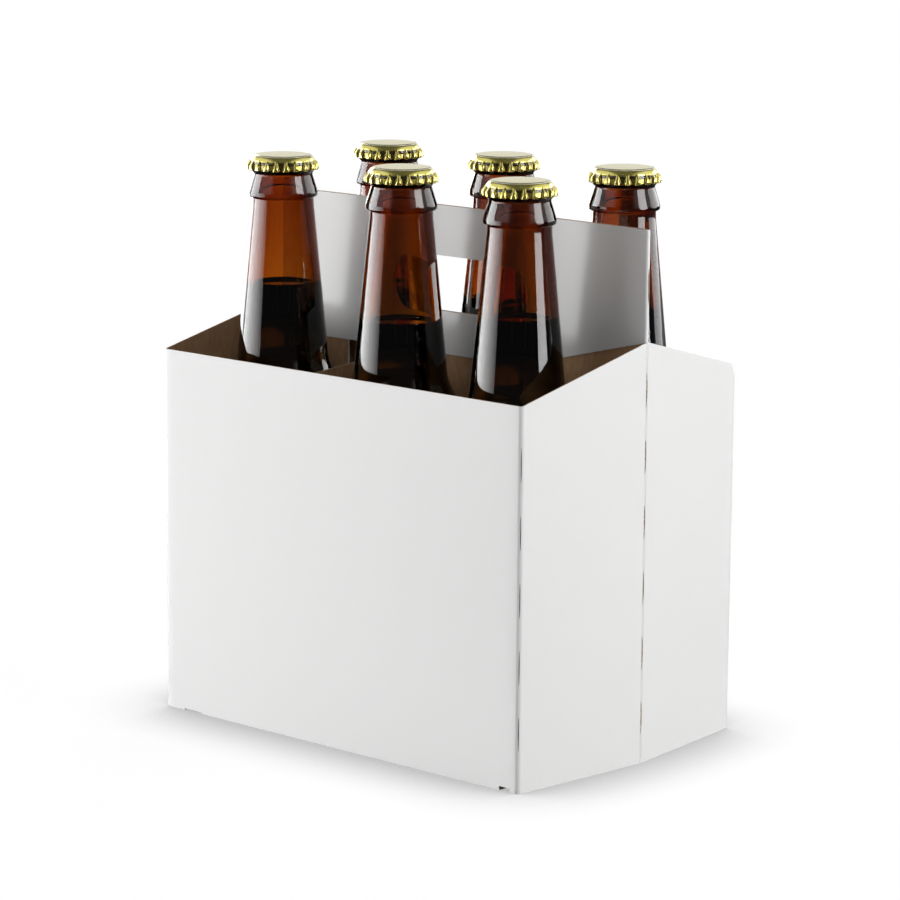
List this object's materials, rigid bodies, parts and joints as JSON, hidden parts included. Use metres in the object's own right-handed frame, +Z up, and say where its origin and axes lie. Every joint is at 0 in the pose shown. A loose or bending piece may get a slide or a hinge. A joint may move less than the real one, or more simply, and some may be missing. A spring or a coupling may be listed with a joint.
{
  "type": "six-pack bottle carrier",
  "caption": "Folded paperboard bottle carrier with a central hand-hole grip and divided cells, loaded with crown-capped amber longneck bottles.",
  "frame": {"origin": "on the floor under the middle of the whole outline", "axes": "+Z up, +X along the carrier's length towards the end with the outward middle fold, -Y the front side wall"},
  "size_m": [0.1983, 0.131, 0.2292],
  "materials": {
    "board": "white coated outside, brown kraft inside",
    "amber_glass": "glossy",
    "beer": "still liquid",
    "gold_cap": "gold-coloured lacquer on tinplate, glossy",
    "liner": "soft"
  },
  "bodies": {
    "root": {"carrier": "board", "bottle_front_left": "amber_glass", "beer_front_left": "beer", "crown_cap_front_left": "gold_cap", "cap_liner_front_left": "liner", "bottle_front_middle": "amber_glass", "beer_front_middle": "beer", "crown_cap_front_middle": "gold_cap", "cap_liner_front_middle": "liner", "bottle_front_right": "amber_glass", "beer_front_right": "beer", "crown_cap_front_right": "gold_cap", "cap_liner_front_right": "liner", "bottle_rear_left": "amber_glass", "beer_rear_left": "beer", "crown_cap_rear_left": "gold_cap", "cap_liner_rear_left": "liner", "bottle_rear_middle": "amber_glass", "beer_rear_middle": "beer", "crown_cap_rear_middle": "gold_cap", "cap_liner_rear_middle": "liner", "bottle_rear_right": "amber_glass", "beer_rear_right": "beer", "crown_cap_rear_right": "gold_cap", "cap_liner_rear_right": "liner"}
  },
  "joints": []
}
